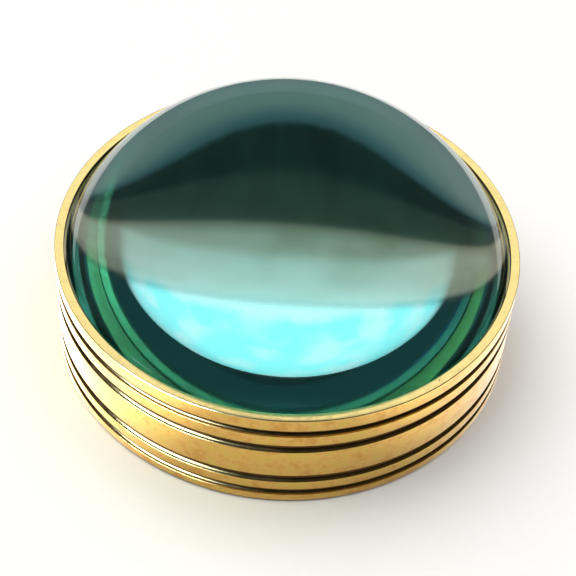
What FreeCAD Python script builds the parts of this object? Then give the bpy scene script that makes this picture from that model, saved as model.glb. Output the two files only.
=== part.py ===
"""Domed desk magnifier: a thick plano-convex glass lens set in a turned brass ring.

Millimetres, +Z up. The origin is the centre of the underside of the felt, on the ring's axis.
"""
import FreeCAD, Part
import Sketcher
import os
from FreeCAD import Vector

# Driving sizes: name, value, what it measures.
SIZES = [
    ("ringDiameter", 88.9, "outside of the brass ring"),
    ("ringHeight", 23.35, "foot to rim of the outer ring"),
    ("rimWall", 1.8, "wall of the outer ring, as it shows at the rim"),
    ("edgeBreak", 0.15, "bevel on every turned edge of the brass"),
    ("rimToGroove", 3.65, "rim down to the middle of the first groove"),
    ("upperPitch", 4.35, "first groove to second groove"),
    ("footToGroove", 2.55, "foot up to the middle of the fourth groove"),
    ("lowerPitch", 4.0, "fourth groove to third groove"),
    ("endGrooveWidth", 1.65, "width of the first and fourth grooves"),
    ("midGrooveWidth", 1.95, "width of the second and third grooves"),
    ("grooveDepth", 0.75, "depth of all four grooves"),
    ("seatWall", 2.45, "wall of the seat ring pressed into the outer ring"),
    ("lensDepth", 5.8, "rim down to the flat underside of the lens"),
    ("domeHeight", 25.4, "rim up to the top of the dome"),
    ("domeStart", 0.75, "rim down to where the dome meets the lens edge"),
    ("lensRound", 0.8, "rounding where the dome meets the lens edge"),
    ("lensBevel", 0.4, "bevel on the bottom edge of the lens"),
    ("edgeGap", 0.35, "gap between lens edge and bore"),
    ("gasketThickness", 0.5, "gasket between the lens and the seat ring"),
    ("gasketSetback", 0.6, "bore of the seat ring out to the gasket"),
    ("feltThickness", 1.0, "felt washer under the seat ring"),
    ("feltProud", 0.4, "felt standing below the foot of the outer ring"),
    ("feltOverhang", 3.3, "felt standing in past the bore of the seat ring"),
    ("feltClearance", 0.25, "felt to the bore of the outer ring"),
]

# Radii and levels that several pieces share, as expressions on the sheet.
OUTER_RADIUS = "Sizes.ringDiameter / 2"
BORE_RADIUS = f"({OUTER_RADIUS} - Sizes.rimWall)"
SEAT_RADIUS = f"({BORE_RADIUS} - Sizes.seatWall)"
LENS_RADIUS = f"({BORE_RADIUS} - Sizes.edgeGap)"
FOOT_LEVEL = "Sizes.feltProud"
RIM_LEVEL = f"({FOOT_LEVEL} + Sizes.ringHeight)"
LENS_LEVEL = f"({RIM_LEVEL} - Sizes.lensDepth)"
GASKET_LEVEL = f"({LENS_LEVEL} - Sizes.gasketThickness)"

TOLERANCE = 1e-4


def make_sheet(doc):
    """Write the driving sizes to a spreadsheet, one alias for each."""
    sheet = doc.addObject("Spreadsheet::Sheet", "Sizes")
    for row, (name, value, note) in enumerate(SIZES, start=1):
        sheet.set(f"A{row}", name)
        sheet.set(f"B{row}", str(value))
        sheet.setAlias(f"B{row}", name)
        sheet.set(f"C{row}", note)
    doc.recompute()


def make_body(doc, label):
    body = doc.addObject("PartDesign::Body", label)
    body.Label = label
    return body


def add_sketch(body, name, role):
    """An empty sketch on one of the body's own origin planes."""
    plane = next(item for item in body.Origin.OriginFeatures if item.Role == role)
    sketch = body.newObject("Sketcher::SketchObject", name)
    sketch.AttachmentSupport = [(plane, "")]
    sketch.MapMode = "FlatFace"
    return sketch


def bind(sketch, name, constraint, expression):
    """Add a dimension, name it and tie it to the sheet."""
    index = sketch.addConstraint(constraint)
    sketch.renameConstraint(index, name)
    sketch.setExpression(f"Constraints.{name}", expression)


def add_circle(sketch, name, radius):
    """A circle about the sketch's origin."""
    start = sketch.Document.Sizes.ringDiameter / 2
    circle = Part.Circle(Vector(0, 0, 0), Vector(0, 0, 1), start)
    index = sketch.addGeometry(circle, False)
    sketch.addConstraint(Sketcher.Constraint("Coincident", index, 3, -1, 1))
    bind(sketch, name, Sketcher.Constraint("Radius", index, start), radius)


def round_edges(shape, radius, level=None):
    """Names of the shape's full circular edges of one radius, at one level if that is given."""
    names = []
    for number, edge in enumerate(shape.Edges, start=1):
        if edge.Degenerated:
            continue
        curve = edge.Curve
        if not isinstance(curve, Part.Circle) or abs(curve.Radius - radius) > TOLERANCE:
            continue
        if abs(curve.Axis.z) < 1 - TOLERANCE:
            continue
        if level is None or abs(curve.Center.z - level) < TOLERANCE:
            names.append(f"Edge{number}")
    return names


def dress(body, kind, name, edges, size):
    """A fillet or a chamfer on named edges of the body's last feature."""
    base = body.Tip
    feature = body.newObject(f"PartDesign::{kind}", name)
    feature.Base = (base, edges)
    feature.setExpression("Radius" if kind == "Fillet" else "Size", size)
    body.Document.recompute()
    return feature


def make_annulus(doc, label, outer, inner, level, height):
    """A flat-ended ring: two circles padded up from one level."""
    body = make_body(doc, label)
    sketch = add_sketch(body, f"{label}_section", "XY_Plane")
    sketch.setExpression("AttachmentOffset.Base.z", level)
    add_circle(sketch, "outerRadius", outer)
    add_circle(sketch, "innerRadius", inner)
    pad = body.newObject("PartDesign::Pad", f"{label}_pad")
    pad.Profile = sketch
    pad.setExpression("Length", height)
    doc.recompute()
    return body


def cut_groove(body, name, width, level):
    """A round-bottomed groove around the outer ring, turned with a nose of the radius that gives
    the groove its width and depth."""
    doc = body.Document
    before = body.Tip.Shape.Volume
    sketch = add_sketch(body, f"{name}_section", "XZ_Plane")
    start = Vector(doc.Sizes.ringDiameter / 2, doc.Sizes.ringHeight / 2, 0)
    index = sketch.addGeometry(Part.Circle(start, Vector(0, 0, 1), doc.Sizes.grooveDepth), False)
    nose = f"(({width} / 2) ^ 2 + Sizes.grooveDepth ^ 2) / (2 * Sizes.grooveDepth)"
    bind(sketch, "noseRadius", Sketcher.Constraint("Radius", index, doc.Sizes.grooveDepth), nose)
    bind(sketch, "reach", Sketcher.Constraint("DistanceX", -1, 1, index, 3, start.x),
         f"{OUTER_RADIUS} - Sizes.grooveDepth + {nose}")
    bind(sketch, "level", Sketcher.Constraint("DistanceY", -1, 1, index, 3, start.y), level)
    groove = body.newObject("PartDesign::Groove", name)
    groove.Profile = sketch
    groove.ReferenceAxis = (sketch, ["V_Axis"])
    groove.Angle = 360
    doc.recompute()
    if groove.Shape.Volume >= before:
        raise RuntimeError(f"{name} cuts nothing")


def make_outer_ring(doc):
    """Brass tube turned to size, with a pair of grooves near the rim and a pair near the foot."""
    body = make_annulus(doc, "outer_ring", OUTER_RADIUS, BORE_RADIUS, FOOT_LEVEL, "Sizes.ringHeight")
    first = f"{RIM_LEVEL} - Sizes.rimToGroove"
    fourth = f"{FOOT_LEVEL} + Sizes.footToGroove"
    cut_groove(body, "groove_1", "Sizes.endGrooveWidth", first)
    cut_groove(body, "groove_2", "Sizes.midGrooveWidth", f"{first} - Sizes.upperPitch")
    cut_groove(body, "groove_3", "Sizes.midGrooveWidth", f"{fourth} + Sizes.lowerPitch")
    cut_groove(body, "groove_4", "Sizes.endGrooveWidth", fourth)
    sheet = doc.Sizes
    outer = sheet.ringDiameter / 2
    rim = sheet.feltProud + sheet.ringHeight
    shape = body.Tip.Shape
    edges = round_edges(shape, outer) + round_edges(shape, outer - sheet.rimWall, rim)
    dress(body, "Chamfer", "edge_break", edges, "Sizes.edgeBreak")
    return body


def make_seat_ring(doc):
    """Brass sleeve pressed into the outer ring from below. Its top is the seat of the lens."""
    level = f"({FOOT_LEVEL} - Sizes.feltProud + Sizes.feltThickness)"
    body = make_annulus(doc, "seat_ring", BORE_RADIUS, SEAT_RADIUS, level,
                        f"{GASKET_LEVEL} - {level}")
    sheet = doc.Sizes
    bore = sheet.ringDiameter / 2 - sheet.rimWall - sheet.seatWall
    edges = round_edges(body.Tip.Shape, bore)
    dress(body, "Chamfer", "edge_break", edges, "Sizes.edgeBreak")
    return body


def make_seat_gasket(doc):
    """Flat ring that the glass beds on, so that it never touches brass."""
    return make_annulus(doc, "seat_gasket", BORE_RADIUS, f"{SEAT_RADIUS} + Sizes.gasketSetback",
                        GASKET_LEVEL, "Sizes.gasketThickness")


def make_base_felt(doc):
    """Felt washer that the piece stands and slides on. It stands in past the seat ring."""
    return make_annulus(doc, "base_felt", f"{BORE_RADIUS} - Sizes.feltClearance",
                        f"{SEAT_RADIUS} - Sizes.feltOverhang", f"{FOOT_LEVEL} - Sizes.feltProud",
                        "Sizes.feltThickness")


def make_dome_lens(doc):
    """Plano-convex lens: flat base, short cylindrical edge and one spherical dome."""
    body = make_body(doc, "dome_lens")
    sketch = add_sketch(body, "dome_lens_section", "XZ_Plane")
    sheet = doc.Sizes
    radius = sheet.ringDiameter / 2 - sheet.rimWall - sheet.edgeGap
    rim = sheet.feltProud + sheet.ringHeight
    low = rim - sheet.lensDepth
    edge_top = rim - sheet.domeStart
    apex = rim + sheet.domeHeight
    rise = apex - edge_top
    sphere = (radius ** 2 + rise ** 2) / (2 * rise)
    corners = [Vector(0, low, 0), Vector(radius, low, 0), Vector(radius, edge_top, 0), Vector(0, apex, 0)]
    # a point between the dome's two ends, by the 3-4-5 triangle
    middle = Vector(sphere * 3 / 5, apex - sphere + sphere * 4 / 5, 0)
    base = sketch.addGeometry(Part.LineSegment(corners[0], corners[1]), False)
    edge = sketch.addGeometry(Part.LineSegment(corners[1], corners[2]), False)
    dome = sketch.addGeometry(Part.Arc(corners[2], middle, corners[3]), False)
    axis = sketch.addGeometry(Part.LineSegment(corners[3], corners[0]), False)
    for kind, *places in [
        ("Coincident", base, 2, edge, 1),
        ("Coincident", edge, 2, dome, 1),
        ("Coincident", dome, 2, axis, 1),
        ("Coincident", axis, 2, base, 1),
        ("PointOnObject", base, 1, -2),
        ("PointOnObject", dome, 3, -2),
        ("Horizontal", base),
        ("Vertical", edge),
        ("Vertical", axis),
    ]:
        sketch.addConstraint(Sketcher.Constraint(kind, *places))
    bind(sketch, "lensRadius", Sketcher.Constraint("DistanceX", -1, 1, base, 2, radius), LENS_RADIUS)
    bind(sketch, "lensLevel", Sketcher.Constraint("DistanceY", -1, 1, base, 2, low), LENS_LEVEL)
    bind(sketch, "edgeTop", Sketcher.Constraint("DistanceY", -1, 1, edge, 2, edge_top),
         f"{RIM_LEVEL} - Sizes.domeStart")
    bind(sketch, "apex", Sketcher.Constraint("DistanceY", -1, 1, axis, 1, apex),
         f"{RIM_LEVEL} + Sizes.domeHeight")
    turned = body.newObject("PartDesign::Revolution", "dome_lens_turned")
    turned.Profile = sketch
    turned.ReferenceAxis = (sketch, ["V_Axis"])
    turned.Angle = 360
    doc.recompute()
    dress(body, "Fillet", "lens_round", round_edges(body.Tip.Shape, radius, edge_top),
          "Sizes.lensRound")
    dress(body, "Chamfer", "lens_bevel", round_edges(body.Tip.Shape, radius, low), "Sizes.lensBevel")
    return body


def check(doc, bodies):
    """Stop if any object failed, or a piece is not one whole solid."""
    for item in doc.Objects:
        if "Invalid" in item.State or "Error" in item.State:
            raise RuntimeError(f"{item.Name} failed: {item.State}")
    for body in bodies:
        shape = body.Shape
        if shape.isNull() or not shape.isValid() or len(shape.Solids) != 1:
            raise RuntimeError(f"{body.Label} is not one valid solid")
        print(f"{body.Label}: {shape.Volume / 1000:.2f} cm3, "
              f"z {shape.BoundBox.ZMin:.2f} to {shape.BoundBox.ZMax:.2f} mm")


def export(bodies, folder="parts"):
    os.makedirs(folder, exist_ok=True)
    for body in bodies:
        body.Shape.exportStep(f"{folder}/{body.Label}.step")


def main():
    doc = FreeCAD.newDocument("desk_magnifier")
    make_sheet(doc)
    bodies = [
        make_outer_ring(doc),
        make_seat_ring(doc),
        make_dome_lens(doc),
        make_seat_gasket(doc),
        make_base_felt(doc),
    ]
    doc.recompute()
    check(doc, bodies)
    export(bodies)


main()
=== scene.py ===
import math

import bmesh
import bpy
from mathutils import Matrix, Vector, noise


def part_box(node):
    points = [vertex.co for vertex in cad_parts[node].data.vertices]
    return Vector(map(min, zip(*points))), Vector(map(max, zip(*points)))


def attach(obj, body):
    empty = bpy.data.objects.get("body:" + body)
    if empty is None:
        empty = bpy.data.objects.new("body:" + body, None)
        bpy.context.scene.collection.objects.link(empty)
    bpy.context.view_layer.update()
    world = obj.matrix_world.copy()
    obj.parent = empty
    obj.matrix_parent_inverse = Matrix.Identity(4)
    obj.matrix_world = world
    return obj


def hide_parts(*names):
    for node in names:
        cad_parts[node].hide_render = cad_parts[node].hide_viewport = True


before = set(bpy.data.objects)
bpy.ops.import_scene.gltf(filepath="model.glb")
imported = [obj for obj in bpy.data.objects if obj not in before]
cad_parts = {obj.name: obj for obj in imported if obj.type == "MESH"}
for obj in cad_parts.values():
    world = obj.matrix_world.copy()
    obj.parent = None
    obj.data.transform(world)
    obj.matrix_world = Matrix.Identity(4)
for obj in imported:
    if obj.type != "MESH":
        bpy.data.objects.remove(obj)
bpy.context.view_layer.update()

# Domed desk magnifier: a blue-green glass dome in a turned brass ring, standing on a felt washer.
# Metres, +Z up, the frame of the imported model. Every piece is a body of revolution about Z.

mm = 0.001
tau = 2 * math.pi


def hexColour(text):
    # sRGB hex to the linear values that the shaders want
    values = []
    for start in (0, 2, 4):
        channel = int(text[start:start + 2], 16) / 255
        if channel <= 0.04045:
            values.append(channel / 12.92)
        else:
            values.append(((channel + 0.055) / 1.055) ** 2.4)
    return (values[0], values[1], values[2], 1.0)


def nodeRadii(name):
    # smallest and largest distance from the axis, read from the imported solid
    spans = [math.hypot(v.co.x, v.co.y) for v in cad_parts[name].data.vertices]
    return min(spans), max(spans)


def filletOutline(corners, steps=5):
    # corners are (radius, height, rounding); returns the outline with its corners rounded
    outline = []
    count = len(corners)
    for index, (r, z, rounding) in enumerate(corners):
        here = Vector((r, z))
        if rounding <= 0:
            outline.append((r, z))
            continue
        before = Vector(corners[index - 1][:2]) - here
        after = Vector(corners[(index + 1) % count][:2]) - here
        turnAngle = before.angle(after)
        reach = min(rounding / math.tan(turnAngle / 2), before.length * 0.48, after.length * 0.48)
        radius = reach * math.tan(turnAngle / 2)
        bisector = (before.normalized() + after.normalized()).normalized()
        centre = here + bisector * (radius / math.sin(turnAngle / 2))
        first = here + before.normalized() * reach - centre
        sweep = math.pi - turnAngle
        if before.cross(after) > 0:
            sweep = -sweep
        for step in range(steps + 1):
            angle = sweep * step / steps
            c, s = math.cos(angle), math.sin(angle)
            outline.append((centre.x + first.x * c - first.y * s, centre.y + first.x * s + first.y * c))
    return outline


def turnSolid(name, outline, segments, sharpAngle=40, wobble=None):
    # spins a closed outline of (radius, height) about Z; points on the axis become one vertex
    shape = bmesh.new()
    rings = []
    for r, z in outline:
        if r < 1e-7:
            rings.append([shape.verts.new((0, 0, z))])
            continue
        ring = []
        for index in range(segments):
            angle = tau * index / segments
            place = Vector((r * math.cos(angle), r * math.sin(angle), z))
            if wobble:
                place = wobble(place, r, z)
            ring.append(shape.verts.new(place))
        rings.append(ring)
    for low, high in zip(rings, rings[1:] + rings[:1]):
        if len(low) == 1 and len(high) == 1:
            continue
        for index in range(segments):
            nextIndex = (index + 1) % segments
            if len(low) == 1:
                shape.faces.new((low[0], high[nextIndex], high[index]))
            elif len(high) == 1:
                shape.faces.new((low[index], low[nextIndex], high[0]))
            else:
                shape.faces.new((low[index], low[nextIndex], high[nextIndex], high[index]))
    bmesh.ops.recalc_face_normals(shape, faces=shape.faces)
    limit = math.radians(sharpAngle)
    for edge in shape.edges:
        edge.smooth = edge.calc_face_angle(0) < limit
    for face in shape.faces:
        face.smooth = True
    mesh = bpy.data.meshes.new(name)
    shape.to_mesh(mesh)
    shape.free()
    piece = bpy.data.objects.new(name, mesh)
    bpy.context.scene.collection.objects.link(piece)
    return piece


def newMaterial(name):
    material = bpy.data.materials.new(name)
    material.use_nodes = True
    tree = material.node_tree
    shader = next(node for node in tree.nodes if node.type == "BSDF_PRINCIPLED")
    output = next(node for node in tree.nodes if node.type == "OUTPUT_MATERIAL")
    return material, tree, shader, output


def addNode(tree, kind, settings=None, inputs=None, links=None):
    # settings are the node's own properties, inputs its socket values, links come from other sockets
    node = tree.nodes.new(kind)
    for key, value in (settings or {}).items():
        setattr(node, key, value)
    for key, value in (inputs or {}).items():
        node.inputs[key].default_value = value
    for key, socket in (links or {}).items():
        tree.links.new(socket, node.inputs[key])
    return node


def setRamp(node, stops):
    ramp = node.color_ramp
    while len(ramp.elements) > 1:
        ramp.elements.remove(ramp.elements[-1])
    ramp.elements[0].position, ramp.elements[0].color = stops[0]
    for position, colour in stops[1:]:
        ramp.elements.new(position).color = colour
    return node


def dressPiece(piece, material, node):
    piece.data.materials.clear()
    piece.data.materials.append(material)
    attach(piece, "root")
    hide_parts(node)


cameraLook = {
    "lens": 101.9,          # mm on a 36 mm sensor
    "distance": 0.3122,     # m from the centre of the rim
    "elevation": 45.52,     # degrees above the rim's plane, seen from its centre
    "pitch": 47.27,         # degrees that the camera looks down
    "yaw": 0.165,           # degrees that it looks off to the right
    "roll": 4.27,           # degrees that it leans
}


def makeCamera(look):
    rimCentre = Vector((0, 0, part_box("outer_ring")[1][2]))
    elevation, pitch, yaw, roll = (math.radians(look[k]) for k in ("elevation", "pitch", "yaw", "roll"))
    place = rimCentre + look["distance"] * Vector((0, -math.cos(elevation), math.sin(elevation)))
    forward = Vector((math.sin(yaw) * math.cos(pitch), math.cos(yaw) * math.cos(pitch), -math.sin(pitch)))
    level = forward.cross(Vector((0, 0, 1))).normalized()
    upright = level.cross(forward)
    right = math.cos(roll) * level + math.sin(roll) * upright
    up = math.cos(roll) * upright - math.sin(roll) * level
    turn = Matrix((right, up, -forward)).transposed().to_4x4()
    data = bpy.data.cameras.new("camera")
    data.lens = look["lens"]
    data.sensor_width = 36
    data.clip_start = 0.01
    camera = bpy.data.objects.new("camera", data)
    camera.matrix_world = Matrix.Translation(place) @ turn
    bpy.context.scene.collection.objects.link(camera)
    bpy.context.scene.camera = camera
    return camera


makeCamera(cameraLook)
print("camera placed")


ringLook = {
    "segments": 432,
    "grooves": (                     # (measured from, distance mm, width mm)
        ("rim", 3.65, 1.65),
        ("rim", 8.00, 1.95),
        ("foot", 6.55, 1.95),
        ("foot", 2.55, 1.65),
    ),
    "grooveDepth": 0.75,             # mm
    "grooveSteps": 14,
    "grooveShadeReach": 1.1,              # how far in, in groove depths, the painted groove shade reaches
    "lipRound": 0.14,                # mm, where a groove breaks into a band
    "rimRound": 0.16,                # mm, outside edges of rim and foot
    "rimHighlightBrass": "F5E096",            # the rim's top face is painted paler and yellower than the bands: a painted highlight where it faces the light
    "rimHighlightBand": (0.25, 0.05),       # mm below the rim where the painted highlight starts and is full
    "bandBrass": "D0A65A",           # the bands are browner than the rim
    "warmBrass": "C29246",
    "oliveBrass": "C6AA52",
    # painted shade: this dark brown is painted into the grooves and into the gap round the lens
    "grooveShadeBrown": "4A341A",
    "pitBrown": "5E4020",
    "markSpacing": 0.28,             # mm between turning marks; real ones are finer, drawn coarse to show
    "markDepth": 0.006,              # mm
    "mottleSize": 2.4,               # mm across a patch of tarnish
    "speckSize": 0.45,               # mm across a speck
    "grooveShadeDepth": 0.16,              # mm below the bands where the painted shade in the grooves starts
    "roughness": 0.17,
    "roughSpread": (0.6, 1.6),       # smoothest and roughest patch, as a share of that
    "boreRoughness": 0.55,           # the bore was never polished
    "gapShade": 1.1,                 # mm below the rim where the painted shade in the gap round the lens starts
}


def makeOuterRing(look):
    low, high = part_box("outer_ring")
    bore, outer = nodeRadii("outer_ring")
    foot, rim = low[2], high[2]
    depth, lip, edge = look["grooveDepth"] * mm, look["lipRound"] * mm, look["rimRound"] * mm
    corners = [(bore, foot, edge), (outer, foot, edge)]
    grooves = []
    for side, distance, width in look["grooves"]:
        level = rim - distance * mm if side == "rim" else foot + distance * mm
        grooves.append((level, width * mm))
    for level, width in sorted(grooves):
        nose = (width ** 2 / 4 + depth ** 2) / (2 * depth)
        centre = outer - depth + nose
        reach = math.asin(width / 2 / nose)
        if depth > nose:
            reach = math.pi - reach
        corners.append((outer, level - width / 2, lip))
        steps = look["grooveSteps"]
        for step in range(1, steps):
            angle = reach * (2 * step / steps - 1)
            corners.append((centre - nose * math.cos(angle), level + nose * math.sin(angle), 0))
        corners.append((outer, level + width / 2, lip))
    corners += [(outer, rim, edge), (bore, rim, edge)]
    return turnSolid("outerRing", filletOutline(corners), look["segments"])


def polishedBrass(look):
    # turned, polished and lightly tarnished brass: warm mirror with faint rings, dull patches,
    # painted shade in the grooves and the gap round the lens, a painted highlight on the rim, and a bore left from
    # the tool
    low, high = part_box("outer_ring")
    bore, outer = nodeRadii("outer_ring")
    material, tree, shader, output = newMaterial("turnedPolishedBrass")
    place = addNode(tree, "ShaderNodeTexCoord").outputs["Object"]
    apart = addNode(tree, "ShaderNodeSeparateXYZ", links={0: place})
    flat = addNode(tree, "ShaderNodeCombineXYZ", links={0: apart.outputs[0], 1: apart.outputs[1]})
    span = addNode(tree, "ShaderNodeVectorMath", {"operation": "LENGTH"}, links={0: flat.outputs[0]})
    rings = addNode(tree, "ShaderNodeCombineXYZ", links={0: span.outputs["Value"], 1: apart.outputs[2]})
    marks = addNode(tree, "ShaderNodeTexNoise", {"noise_dimensions": "2D"},
                    {"Scale": 1 / (look["markSpacing"] * mm), "Detail": 3.0}, {"Vector": rings.outputs[0]})
    mottle = addNode(tree, "ShaderNodeTexNoise", None,
                     {"Scale": 1 / (look["mottleSize"] * mm), "Detail": 6.0, "Roughness": 0.62}, {"Vector": place})
    speck = addNode(tree, "ShaderNodeTexNoise", None,
                    {"Scale": 1 / (look["speckSize"] * mm), "Detail": 2.0}, {"Vector": place})
    patches = setRamp(addNode(tree, "ShaderNodeValToRGB", links={0: mottle.outputs[0]}), [
        (0.36, hexColour(look["oliveBrass"])),
        (0.50, hexColour(look["bandBrass"])),
        (0.64, hexColour(look["warmBrass"])),
    ])
    # painted highlight: the rim's top face is painted paler and yellower
    rimHighlightMask = addNode(tree, "ShaderNodeMapRange", None,
                    {"From Min": high[2] - look["rimHighlightBand"][0] * mm,
                     "From Max": high[2] - look["rimHighlightBand"][1] * mm, "To Max": 0.85},
                    {0: apart.outputs[2]})
    rimHighlighted = addNode(tree, "ShaderNodeMix", {"data_type": "RGBA"}, {7: hexColour(look["rimHighlightBrass"])},
                       {0: rimHighlightMask.outputs[0], 6: patches.outputs[0]})
    # painted shade: the grooves are painted dark brown
    grooveShadeRamp = addNode(tree, "ShaderNodeMapRange", None,
                       {"From Min": outer - look["grooveShadeDepth"] * mm, "From Max": outer - 4 * look["grooveShadeDepth"] * mm},
                       {0: span.outputs["Value"]})
    nearBands = addNode(tree, "ShaderNodeMath", {"operation": "GREATER_THAN"},
                        {1: outer - look["grooveShadeReach"] * look["grooveDepth"] * mm}, {0: span.outputs["Value"]})
    belowRim = addNode(tree, "ShaderNodeMath", {"operation": "LESS_THAN"}, {1: high[2] - 0.2 * mm},
                       {0: apart.outputs[2]})
    grooveShadeZone = addNode(tree, "ShaderNodeMath", {"operation": "MULTIPLY"},
                    links={0: nearBands.outputs[0], 1: belowRim.outputs[0]})
    grooveShade = addNode(tree, "ShaderNodeMath", {"operation": "MULTIPLY"},
                          links={0: grooveShadeZone.outputs[0], 1: grooveShadeRamp.outputs[0]})
    inBore = addNode(tree, "ShaderNodeMath", {"operation": "LESS_THAN"}, {1: bore + 0.1 * mm},
                     {0: span.outputs["Value"]})
    # painted shade: the bore just under the rim, in the gap round the lens, is painted dark brown
    gapTop = addNode(tree, "ShaderNodeMapRange", None,
                     {"From Min": high[2] - look["gapShade"] * mm, "From Max": high[2] - 0.6 * look["gapShade"] * mm},
                     {0: apart.outputs[2]})
    gapShade = addNode(tree, "ShaderNodeMath", {"operation": "MULTIPLY"},
                       links={0: inBore.outputs[0], 1: gapTop.outputs[0]})
    paintedShade = addNode(tree, "ShaderNodeMath", {"operation": "MAXIMUM"},
                    links={0: grooveShade.outputs[0], 1: gapShade.outputs[0]})
    shadedBrass = addNode(tree, "ShaderNodeMix", {"data_type": "RGBA"}, {7: hexColour(look["grooveShadeBrown"])},
                      {0: paintedShade.outputs[0], 6: rimHighlighted.outputs[2]})
    specks = addNode(tree, "ShaderNodeMapRange", None,
                     {"From Min": 0.66, "From Max": 0.80, "To Min": 0.0, "To Max": 0.6}, {0: speck.outputs[0]})
    colour = addNode(tree, "ShaderNodeMix", {"data_type": "RGBA"}, {7: hexColour(look["pitBrown"])},
                     {0: specks.outputs[0], 6: shadedBrass.outputs[2]})
    tree.links.new(colour.outputs[2], shader.inputs["Base Color"])
    rough = addNode(tree, "ShaderNodeMapRange", None,
                    {"From Min": 0.3, "From Max": 0.7, "To Min": look["roughness"] * look["roughSpread"][0],
                     "To Max": look["roughness"] * look["roughSpread"][1]}, {0: mottle.outputs[0]})
    finish = addNode(tree, "ShaderNodeMix", {"data_type": "FLOAT"}, {3: look["boreRoughness"]},
                     {0: inBore.outputs[0], 2: rough.outputs[0]})
    tree.links.new(finish.outputs[0], shader.inputs["Roughness"])
    bump = addNode(tree, "ShaderNodeBump", None, {"Strength": 0.25, "Distance": look["markDepth"] * mm},
                   {"Height": marks.outputs[0]})
    tree.links.new(bump.outputs[0], shader.inputs["Normal"])
    shader.inputs["Metallic"].default_value = 1.0
    return material


outerRing = makeOuterRing(ringLook)
dressPiece(outerRing, polishedBrass(ringLook), "outer_ring")
print("outer ring turned")


seatLook = {
    "segments": 288,
    "edgeRound": 0.18,               # mm
    "brass": "EAD3B8",
    "dullBrass": "CFB48E",
    # painted shade: the bore is painted browner towards the felt
    "footShadeBrown": "B79F7C",
    "footShadeHeight": 1.2,              # mm above the foot where the painted shade at the felt ends
    # painted shade: the bore is painted black under the gasket
    "gasketShadeBlack": "17150F",
    "gasketShadeDepth": 6.5,               # mm below the gasket where the painted black shade under it starts
    "boreMarks": 0.35,               # mm between boring marks
    "markDepth": 0.01,               # mm
    "bloomSize": 6,                  # mm across a patch of bloom
    "metal": 0.5,                    # share of bare metal under the bloom
    "roughness": 0.60,
    "roughSpread": (0.8, 1.4),       # smoothest and roughest patch, as a share of that
}


def makeSeatRing(look):
    low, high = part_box("seat_ring")
    inner, outer = nodeRadii("seat_ring")
    edge = look["edgeRound"] * mm
    middle = (low[2] + high[2]) / 2
    corners = [(inner, low[2], edge), (outer, low[2], edge), (outer, high[2], edge), (inner, high[2], edge),
               (inner, middle, 0)]
    return turnSolid("seatRing", filletOutline(corners), look["segments"])


def boredBrass(look):
    # bored brass left from the tool: satin, with fine rings and a pale bloom, with painted shade
    # darkening it at the felt and painted black shade under the gasket
    foot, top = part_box("seat_ring")[0][2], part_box("seat_ring")[1][2]
    material, tree, shader, output = newMaterial("boredSatinBrass")
    place = addNode(tree, "ShaderNodeTexCoord").outputs["Object"]
    apart = addNode(tree, "ShaderNodeSeparateXYZ", links={0: place})
    level = addNode(tree, "ShaderNodeCombineXYZ", links={1: apart.outputs[2]})
    marks = addNode(tree, "ShaderNodeTexNoise", {"noise_dimensions": "2D"},
                    {"Scale": 1 / (look["boreMarks"] * mm), "Detail": 2.0}, {"Vector": level.outputs[0]})
    bloom = addNode(tree, "ShaderNodeTexNoise", None, {"Scale": 1 / (look["bloomSize"] * mm), "Detail": 4.0},
                    {"Vector": place})
    colour = setRamp(addNode(tree, "ShaderNodeValToRGB", links={0: bloom.outputs[0]}), [
        (0.35, hexColour(look["dullBrass"])),
        (0.60, hexColour(look["brass"])),
    ])
    # painted shade: darker towards the felt
    footShadeRamp = addNode(tree, "ShaderNodeMapRange", {"interpolation_type": "SMOOTHSTEP"},
                    {"From Min": foot, "From Max": foot + look["footShadeHeight"] * mm}, {0: apart.outputs[2]})
    footShaded = addNode(tree, "ShaderNodeMix", {"data_type": "RGBA"}, {6: hexColour(look["footShadeBrown"])},
                     {0: footShadeRamp.outputs[0], 7: colour.outputs[0]})
    # painted shade: black under the gasket
    gasketShadeRamp = addNode(tree, "ShaderNodeMapRange", {"interpolation_type": "SMOOTHSTEP"},
                    {"From Min": top - look["gasketShadeDepth"] * mm, "From Max": top - 0.75 * look["gasketShadeDepth"] * mm},
                    {0: apart.outputs[2]})
    gasketShaded = addNode(tree, "ShaderNodeMix", {"data_type": "RGBA"}, {7: hexColour(look["gasketShadeBlack"])},
                      {0: gasketShadeRamp.outputs[0], 6: footShaded.outputs[2]})
    tree.links.new(gasketShaded.outputs[2], shader.inputs["Base Color"])
    rough = addNode(tree, "ShaderNodeMapRange", None,
                    {"From Min": 0.3, "From Max": 0.7, "To Min": look["roughness"] * look["roughSpread"][0],
                     "To Max": look["roughness"] * look["roughSpread"][1]}, {0: bloom.outputs[0]})
    tree.links.new(rough.outputs[0], shader.inputs["Roughness"])
    bump = addNode(tree, "ShaderNodeBump", None, {"Strength": 0.4, "Distance": look["markDepth"] * mm},
                   {"Height": marks.outputs[0]})
    tree.links.new(bump.outputs[0], shader.inputs["Normal"])
    shader.inputs["Metallic"].default_value = look["metal"]
    return material


seatRing = makeSeatRing(seatLook)
dressPiece(seatRing, boredBrass(seatLook), "seat_ring")
print("seat ring bored")


lensLook = {
    "segments": 480,
    "domeSteps": 150,
    "domeStart": 0.75,               # mm below the rim, where the dome meets the edge
    "edgeRound": 0.8,                # mm
    "bevel": 0.4,                    # mm, bottom edge
    "ior": 1.51,
    "tintKept": (0.28, 0.88, 0.87),  # share of red, green and blue that gets through tintDepth of glass
    "tintDepth": 60.0,               # mm
    "smearSize": 14,                 # mm across a finger smear
    "smearRoughness": 0.012,
    "baseRoughness": 0.05,           # the flat base is ground finer than matt but is not bright
}


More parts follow.
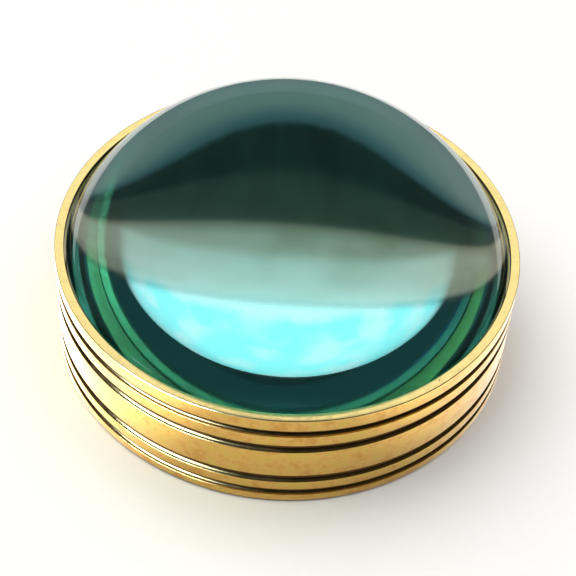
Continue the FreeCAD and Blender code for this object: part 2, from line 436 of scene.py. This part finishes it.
def makeLens(look):
    low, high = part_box("dome_lens")
    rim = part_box("outer_ring")[1][2]
    radius = nodeRadii("dome_lens")[1]
    base, apex = low[2], high[2]
    start = rim - look["domeStart"] * mm
    rise = apex - start
    sphere = (radius ** 2 + rise ** 2) / (2 * rise)
    opening = math.asin(radius / sphere)
    bevel = look["bevel"] * mm
    flats = (0.0, 0.25, 0.5, 0.75)
    corners = [((radius - bevel) * share, base, 0) for share in flats]
    corners += [(radius - bevel, base, 0.04 * mm), (radius, base + bevel, 0.1 * mm)]
    corners.append((radius, start, look["edgeRound"] * mm))
    steps = look["domeSteps"]
    for step in range(1, steps + 1):
        angle = opening * (1 - step / steps)
        # the first steps are left out, so that the rounded edge has room
        if (opening - angle) * sphere < look["edgeRound"] * mm:
            continue
        corners.append((sphere * math.sin(angle), apex - sphere + sphere * math.cos(angle), 0))
    outline = [(max(r, 0.0), z) for r, z in filletOutline(corners, 8)]
    return turnSolid("domeLens", outline, look["segments"], sharpAngle=30)


def tintedGlass(look):
    # pressed and polished glass with a blue-green tint: clear when thin, deep teal through the thick dome
    material, tree, shader, output = newMaterial("pressedPolishedTintedGlass")
    place = addNode(tree, "ShaderNodeTexCoord").outputs["Object"]
    smear = addNode(tree, "ShaderNodeTexNoise", None, {"Scale": 1 / (look["smearSize"] * mm), "Detail": 6.0,
                     "Distortion": 1.2},
                    {"Vector": place})
    rough = addNode(tree, "ShaderNodeMapRange", None,
                    {"From Min": 0.45, "From Max": 0.75, "To Min": 0.0, "To Max": look["smearRoughness"]},
                    {0: smear.outputs[0]})
    apart = addNode(tree, "ShaderNodeSeparateXYZ", links={0: place})
    onBase = addNode(tree, "ShaderNodeMath", {"operation": "LESS_THAN"},
                     {1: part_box("dome_lens")[0][2] + 0.02 * mm}, {0: apart.outputs[2]})
    finish = addNode(tree, "ShaderNodeMix", {"data_type": "FLOAT"}, {3: look["baseRoughness"]},
                     {0: onBase.outputs[0], 2: rough.outputs[0]})
    tree.links.new(finish.outputs[0], shader.inputs["Roughness"])
    shader.inputs["Base Color"].default_value = (1, 1, 1, 1)
    shader.inputs["Transmission Weight"].default_value = 1.0
    shader.inputs["IOR"].default_value = look["ior"]
    loss = [-math.log(kept) / (look["tintDepth"] * mm) for kept in look["tintKept"]]
    density = max(loss) * 1.05
    soak = addNode(tree, "ShaderNodeVolumeAbsorption")
    soak.inputs["Color"].default_value = tuple(1 - value / density for value in loss) + (1,)
    soak.inputs["Density"].default_value = density
    tree.links.new(soak.outputs[0], output.inputs["Volume"])
    return material


domeLens = makeLens(lensLook)
dressPiece(domeLens, tintedGlass(lensLook), "dome_lens")
print("lens ground and polished")


gasketLook = {
    "segments": 240,
    "gasketRound": 0.12,             # mm
    "rubber": "141414",
    "grain": 0.4,                    # mm
    "grainDepth": 0.03,              # mm
    "paleGain": 2.2,                 # how much paler the worn grain is
    "roughness": 0.7,
}


def makeGasket(look):
    low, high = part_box("seat_gasket")
    inner, outer = nodeRadii("seat_gasket")
    edge = look["gasketRound"] * mm
    corners = [(inner, low[2], edge), (outer, low[2], 0), (outer, high[2], 0), (inner, high[2], edge)]
    return turnSolid("seatGasket", filletOutline(corners), look["segments"])


def nitrileRubber(look):
    # moulded nitrile rubber: matt black, with a soft grain and no gloss to speak of
    material, tree, shader, output = newMaterial("mouldedNitrileRubber")
    place = addNode(tree, "ShaderNodeTexCoord").outputs["Object"]
    cloud = addNode(tree, "ShaderNodeTexNoise", None, {"Scale": 1 / (look["grain"] * mm), "Detail": 4.0},
                    {"Vector": place})
    base = hexColour(look["rubber"])
    lifted = tuple(value * look["paleGain"] for value in base[:3]) + (1,)
    colour = setRamp(addNode(tree, "ShaderNodeValToRGB", links={0: cloud.outputs[0]}), [(0.4, base), (0.7, lifted)])
    tree.links.new(colour.outputs[0], shader.inputs["Base Color"])
    bump = addNode(tree, "ShaderNodeBump", None, {"Strength": 0.5, "Distance": look["grainDepth"] * mm},
                   {"Height": cloud.outputs[0]})
    tree.links.new(bump.outputs[0], shader.inputs["Normal"])
    shader.inputs["Roughness"].default_value = look["roughness"]
    return material


seatGasket = makeGasket(gasketLook)
dressPiece(seatGasket, nitrileRubber(gasketLook), "seat_gasket")
print("gasket laid")


feltLook = {
    "segments": 360,
    "across": 22,                    # faces across the washer
    "edgeRound": 0.25,               # mm
    "fuzz": 0.05,                    # mm that the surface wanders
    "fuzzSize": 0.9,                 # mm
    "green": "1E3A2C",
    "paleGreen": "35594A",
    "fibreWidth": 0.12,              # mm
    "fibreCoarse": 4,                # fibres are drawn this many times wider, so that they show
    "fibreDepth": 0.08,              # mm
    "clumpSize": 3,                  # mm
}


def makeFelt(look):
    low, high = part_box("base_felt")
    inner, outer = nodeRadii("base_felt")
    slack = look["fuzz"] * mm
    bottom, top = low[2] + slack * 0.5, high[2]
    edge = look["edgeRound"] * mm
    corners = [(inner + slack, bottom, edge)]
    for step in range(1, look["across"]):
        corners.append((inner + (outer - inner) * step / look["across"], bottom, 0))
    corners += [(outer - slack, bottom, edge), (outer - slack, top, edge)]
    for step in range(look["across"] - 1, 0, -1):
        corners.append((inner + (outer - inner) * step / look["across"], top, 0))
    corners.append((inner + slack, top, edge))

    def wander(place, r, z):
        # pressed wool is never quite flat; the top stays below the brass
        drift = noise.noise(place / (look["fuzzSize"] * mm)) * slack * 0.5
        moved = place.copy()
        moved.z += -abs(drift) if z > (bottom + top) / 2 else drift
        moved.z = min(max(moved.z, low[2]), high[2])
        scale = 1 + noise.noise(place / (look["fuzzSize"] * mm) + Vector((7, 3, 1))) * slack * 0.8 / r
        moved.x *= scale
        moved.y *= scale
        return moved

    return turnSolid("baseFelt", filletOutline(corners), look["segments"], wobble=wander)


def woolFelt(look):
    # pressed wool felt: deep green, no gloss, short fibres lying every way
    material, tree, shader, output = newMaterial("pressedWoolFelt")
    place = addNode(tree, "ShaderNodeTexCoord").outputs["Object"]
    fibres = addNode(tree, "ShaderNodeTexNoise", None,
                     {"Scale": 1 / (look["fibreWidth"] * mm * look["fibreCoarse"]), "Detail": 8.0, "Roughness": 0.75,
                      "Distortion": 2.5}, {"Vector": place})
    clumps = addNode(tree, "ShaderNodeTexNoise", None, {"Scale": 1 / (look["clumpSize"] * mm), "Detail": 3.0},
                     {"Vector": place})
    blend = addNode(tree, "ShaderNodeMath", {"operation": "MULTIPLY"},
                    links={0: fibres.outputs[0], 1: clumps.outputs[0]})
    colour = setRamp(addNode(tree, "ShaderNodeValToRGB", links={0: blend.outputs[0]}), [
        (0.15, hexColour(look["green"])),
        (0.40, hexColour(look["paleGreen"])),
    ])
    tree.links.new(colour.outputs[0], shader.inputs["Base Color"])
    bump = addNode(tree, "ShaderNodeBump", None, {"Strength": 0.8, "Distance": look["fibreDepth"] * mm},
                   {"Height": fibres.outputs[0]})
    tree.links.new(bump.outputs[0], shader.inputs["Normal"])
    shader.inputs["Roughness"].default_value = 0.95
    shader.inputs["Sheen Weight"].default_value = 0.35
    return material


baseFelt = makeFelt(feltLook)
dressPiece(baseFelt, woolFelt(feltLook), "base_felt")
print("felt cut")


studioLook = {
    "floorColour": "F4F3F0",
    "floorSize": 8.0,                # m
    "floorGap": 0.02,                # mm below the felt
    "toothSize": 1.5,                # mm
    "roomGlow": 0.05,                # radiance of the dim room
    "background": "F2F2F0",
    "flagHole": 0.11,                # m
    "flagSides": 64,
    "flagHeight": 0.5,               # mm above the felt's underside
    "flagColour": "525E64",
}

# each lamp: aim from the part (degrees round from the far side, degrees up), distance m, width m,
# height m, radiance, what it lights, and which pieces it is kept to or kept off
lampLook = {
    "farWindow": {"aim": (0, 30), "away": 2.0, "wide": 3.9, "high": 1.86, "radiance": 1.0,
                  "lights": ("transmission",), "sky": True},
    "roomBehindCamera": {"aim": (180, 58), "away": 2.0, "wide": 3.2, "high": 3.0, "radiance": 0.35,
                         "colour": (0.55, 1.0, 1.3), "lights": ("transmission",)},
    "seatFill": {"aim": (-165, 28), "away": 1.5, "wide": 2.0, "high": 1.2, "radiance": 3.1,
                 "colour": (0.96, 1.0, 1.12),
                 "lights": ("diffuse", "glossy"), "only": ("seatRing",)},
    "boreFill": {"aim": (-132, 24), "away": 1.5, "wide": 1.0, "high": 1.0, "radiance": 24.0,
                 "colour": (0.62, 1.0, 2.1), "lights": ("diffuse", "glossy"), "only": ("outerRing",)},
    "keySoftbox": {"aim": (-60, 60), "away": 1.6, "wide": 1.6, "high": 1.6, "radiance": 1.45,
                   "lights": ("diffuse",)},
    "overheadSoftbox": {"aim": (20, 84), "away": 1.8, "wide": 3.4, "high": 3.4, "radiance": 1.5,
                        "lights": ("diffuse",)},
    "rimCard": {"aim": (0, 46), "away": 1.5, "wide": 1.9, "high": 0.8, "radiance": 1.15,
                "lights": ("glossy",), "exceptGlass": True},
    "leftCard": {"centre": (-0.055, -0.035, 0.0), "wide": 0.080, "high": 0.13, "radiance": 3.0,
                 "fade": (0.018, 0.052), "lights": ("glossy",), "only": ("outerRing",)},
    "rightCard": {"centre": (0.060, -0.035, 0.0), "wide": 0.080, "high": 0.13, "radiance": 1.1,
                  "fade": (0.022, 0.055), "lights": ("glossy",), "only": ("outerRing",)},
}

# the far window: cool haze low down, warm cloud above, and a ragged edge between them
skyLook = {
    "hazeLow": (1.05, 1.30, 1.33),
    "hazeBright": (1.9, 1.30, 1.33),
    "cloud": (2.3, 1.40, 1.38),
    "edgeHeight": 1.06,              # m above the floor
    "edgeBlur": 0.05,                # m
    "edgeRagged": 0.12,              # m
    "cloudSize": 0.35,               # m
    "fadeFrom": 1.35,                # m to either side, where the window starts to dim
    "fadeTo": 1.95,
    "strength": 2.0,                 # the colours are divided by this and the lamp is multiplied by it
    "topFrom": 1.36,                 # m above the floor, where the window gives way to a dim wall
    "topTo": 1.46,
    "wallTop": 1.62,                 # m, where the wall is as dark as the room
    "wallGlow": 0.16,                # share of the window's brightness
}


def makeFloor(look):
    # painted board: matt and pale, with a barely visible tooth
    shape = bmesh.new()
    bmesh.ops.create_grid(shape, x_segments=4, y_segments=4, size=look["floorSize"] / 2)
    mesh = bpy.data.meshes.new("floor")
    shape.to_mesh(mesh)
    shape.free()
    floor = bpy.data.objects.new("floor", mesh)
    bpy.context.scene.collection.objects.link(floor)
    floor.location.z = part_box("base_felt")[0][2] - look["floorGap"] * mm
    material, tree, shader, output = newMaterial("mattPaintedBoard")
    place = addNode(tree, "ShaderNodeTexCoord").outputs["Object"]
    tooth = addNode(tree, "ShaderNodeTexNoise", None, {"Scale": 1 / (look["toothSize"] * mm), "Detail": 3.0},
                    {"Vector": place})
    base = hexColour(look["floorColour"])
    darker = tuple(value * 0.985 for value in base[:3]) + (1,)
    colour = setRamp(addNode(tree, "ShaderNodeValToRGB", links={0: tooth.outputs[0]}), [(0.3, darker), (0.7, base)])
    tree.links.new(colour.outputs[0], shader.inputs["Base Color"])
    shader.inputs["Roughness"].default_value = 0.9
    shader.inputs["Specular IOR Level"].default_value = 0.1
    mesh.materials.append(material)


def makeFlag(look):
    # a dark card with a hole, laid round the part and seen in reflections alone: it keeps the pale
    # board off the dome
    shape = bmesh.new()
    rings = []
    for radius in (look["flagHole"], look["floorSize"] / 2):
        rings.append([shape.verts.new((radius * math.cos(tau * k / look["flagSides"]),
                                       radius * math.sin(tau * k / look["flagSides"]),
                                       look["flagHeight"] * mm))
                      for k in range(look["flagSides"])])
    for k in range(look["flagSides"]):
        after = (k + 1) % look["flagSides"]
        shape.faces.new((rings[0][k], rings[1][k], rings[1][after], rings[0][after]))
    mesh = bpy.data.meshes.new("blackFlag")
    shape.to_mesh(mesh)
    shape.free()
    flag = bpy.data.objects.new("blackFlag", mesh)
    bpy.context.scene.collection.objects.link(flag)
    material, tree, shader, output = newMaterial("greyVelvet")
    shader.inputs["Base Color"].default_value = hexColour(look["flagColour"])
    shader.inputs["Roughness"].default_value = 1.0
    mesh.materials.append(material)
    flag.visible_camera = False
    flag.visible_diffuse = False
    flag.visible_transmission = False
    flag.visible_shadow = False


def makeWorld(look):
    # a dim room; the backdrop that the camera sees is as pale as the floor
    world = bpy.data.worlds.new("studio")
    bpy.context.scene.world = world
    world.use_nodes = True
    tree = world.node_tree
    room = next(node for node in tree.nodes if node.type == "BACKGROUND")
    output = next(node for node in tree.nodes if node.type == "OUTPUT_WORLD")
    room.inputs["Color"].default_value = (1, 1, 1, 1)
    room.inputs["Strength"].default_value = look["roomGlow"]
    backdrop = addNode(tree, "ShaderNodeBackground", None, {"Color": hexColour(look["background"])})
    seen = addNode(tree, "ShaderNodeLightPath")
    mix = addNode(tree, "ShaderNodeMixShader", None, None,
                  {0: seen.outputs["Is Camera Ray"], 1: room.outputs[0], 2: backdrop.outputs[0]})
    tree.links.new(mix.outputs[0], output.inputs["Surface"])


def paintSky(data, look):
    # colours the window by height, with noise that wanders the edge
    data.use_nodes = True
    tree = data.node_tree
    lamp = next(node for node in tree.nodes if node.type == "EMISSION")
    place = addNode(tree, "ShaderNodeNewGeometry").outputs["Position"]
    apart = addNode(tree, "ShaderNodeSeparateXYZ", links={0: place})
    puffs = addNode(tree, "ShaderNodeTexNoise", None, {"Scale": 1 / look["cloudSize"], "Detail": 5.0},
                    {"Vector": place})
    wander = addNode(tree, "ShaderNodeMath", {"operation": "MULTIPLY_ADD"}, {1: 2 * look["edgeRagged"]},
                     {0: puffs.outputs[0], 2: apart.outputs[2]})
    edge = look["edgeHeight"] + look["edgeRagged"]
    above = addNode(tree, "ShaderNodeMapRange", None,
                    {"From Min": edge - look["edgeBlur"], "From Max": edge + look["edgeBlur"]},
                    {0: wander.outputs[0]})
    haze = setRamp(addNode(tree, "ShaderNodeValToRGB", links={0: puffs.outputs[0]}), [
        (0.45, tuple(value / look["strength"] for value in look["hazeLow"]) + (1,)),
        (0.62, tuple(value / look["strength"] for value in look["hazeBright"]) + (1,)),
    ])
    sky = addNode(tree, "ShaderNodeMix", {"data_type": "RGBA"},
                  {7: tuple(value / look["strength"] for value in look["cloud"]) + (1,)},
                  {0: above.outputs[0], 6: haze.outputs[0]})
    tree.links.new(sky.outputs[2], lamp.inputs["Color"])
    aside = addNode(tree, "ShaderNodeMath", {"operation": "ABSOLUTE"}, links={0: apart.outputs[0]})
    fade = addNode(tree, "ShaderNodeMapRange", {"interpolation_type": "SMOOTHSTEP"},
                   {"From Min": look["fadeFrom"], "From Max": look["fadeTo"], "To Min": look["strength"],
                    "To Max": 0.0},
                   {0: aside.outputs[0]})
    window = addNode(tree, "ShaderNodeMapRange", {"interpolation_type": "SMOOTHSTEP"},
                     {"From Min": look["topFrom"], "From Max": look["topTo"], "To Min": 1.0,
                      "To Max": look["wallGlow"]}, {0: apart.outputs[2]})
    wall = addNode(tree, "ShaderNodeMapRange", None,
                   {"From Min": look["topTo"], "From Max": look["wallTop"], "To Min": 1.0, "To Max": 0.0},
                   {0: apart.outputs[2]})
    level = addNode(tree, "ShaderNodeMath", {"operation": "MULTIPLY"},
                    links={0: window.outputs[0], 1: wall.outputs[0]})
    strength = addNode(tree, "ShaderNodeMath", {"operation": "MULTIPLY"},
                       links={0: level.outputs[0], 1: fade.outputs[0]})
    tree.links.new(strength.outputs[0], lamp.inputs["Strength"])


def fadeCard(data, near, far):
    # a card that dims towards the middle of the part, so that its reflection has no hard end
    data.use_nodes = True
    tree = data.node_tree
    lamp = next(node for node in tree.nodes if node.type == "EMISSION")
    place = addNode(tree, "ShaderNodeNewGeometry").outputs["Position"]
    apart = addNode(tree, "ShaderNodeSeparateXYZ", links={0: place})
    aside = addNode(tree, "ShaderNodeMath", {"operation": "ABSOLUTE"}, links={0: apart.outputs[0]})
    fade = addNode(tree, "ShaderNodeMapRange", {"interpolation_type": "SMOOTHSTEP"},
                   {"From Min": near, "From Max": far}, {0: aside.outputs[0]})
    tree.links.new(fade.outputs[0], lamp.inputs["Strength"])


def linkPieces(name, pieces, state):
    group = bpy.data.collections.new(name)
    for piece in pieces:
        group.objects.link(piece)
    for entry in group.collection_objects:
        entry.light_linking.link_state = state
    return group


def makeLamp(name, look):
    # a rectangular softbox turned to face the part, or a card lying on the floor
    data = bpy.data.lights.new(name, "AREA")
    data.shape = "RECTANGLE"
    data.size, data.size_y = look["wide"], look["high"]
    data.energy = math.pi * look["wide"] * look["high"] * look["radiance"]
    data.color = look.get("colour", (1, 1, 1))
    lamp = bpy.data.objects.new(name, data)
    if "centre" in look:
        lamp.location = look["centre"]
        lamp.rotation_euler = (math.pi, 0, 0)
    else:
        azimuth, elevation = (math.radians(value) for value in look["aim"])
        way = Vector((math.sin(azimuth) * math.cos(elevation), math.cos(azimuth) * math.cos(elevation),
                      math.sin(elevation)))
        lamp.location = look["away"] * way
        lamp.rotation_euler = way.to_track_quat("Z", "Y").to_euler()
    lamp.visible_camera = False
    lamp.visible_diffuse = "diffuse" in look["lights"]
    lamp.visible_glossy = "glossy" in look["lights"]
    lamp.visible_transmission = "transmission" in look["lights"]
    bpy.context.scene.collection.objects.link(lamp)
    if look.get("sky"):
        paintSky(data, skyLook)
    if "fade" in look:
        fadeCard(data, *look["fade"])
    if look.get("exceptGlass"):
        lamp.light_linking.receiver_collection = linkPieces(name + "Receivers", [domeLens], "EXCLUDE")
    if "only" in look:
        # a fill or a card kept to these pieces, which nothing shades; boreFill also reaches the
        # outside of the ring, because a lamp is kept to whole pieces
        kept = [bpy.data.objects[piece] for piece in look["only"]]
        pieces = [outerRing, seatRing, domeLens, seatGasket, baseFelt]
        lamp.light_linking.receiver_collection = linkPieces(name + "Receivers", kept, "INCLUDE")
        lamp.light_linking.blocker_collection = linkPieces(name + "Blockers", pieces, "EXCLUDE")


makeFloor(studioLook)
makeFlag(studioLook)
makeWorld(studioLook)
for lampName, lampValues in lampLook.items():
    makeLamp(lampName, lampValues)
bpy.context.scene.view_settings.view_transform = "Standard"
print("studio lit")
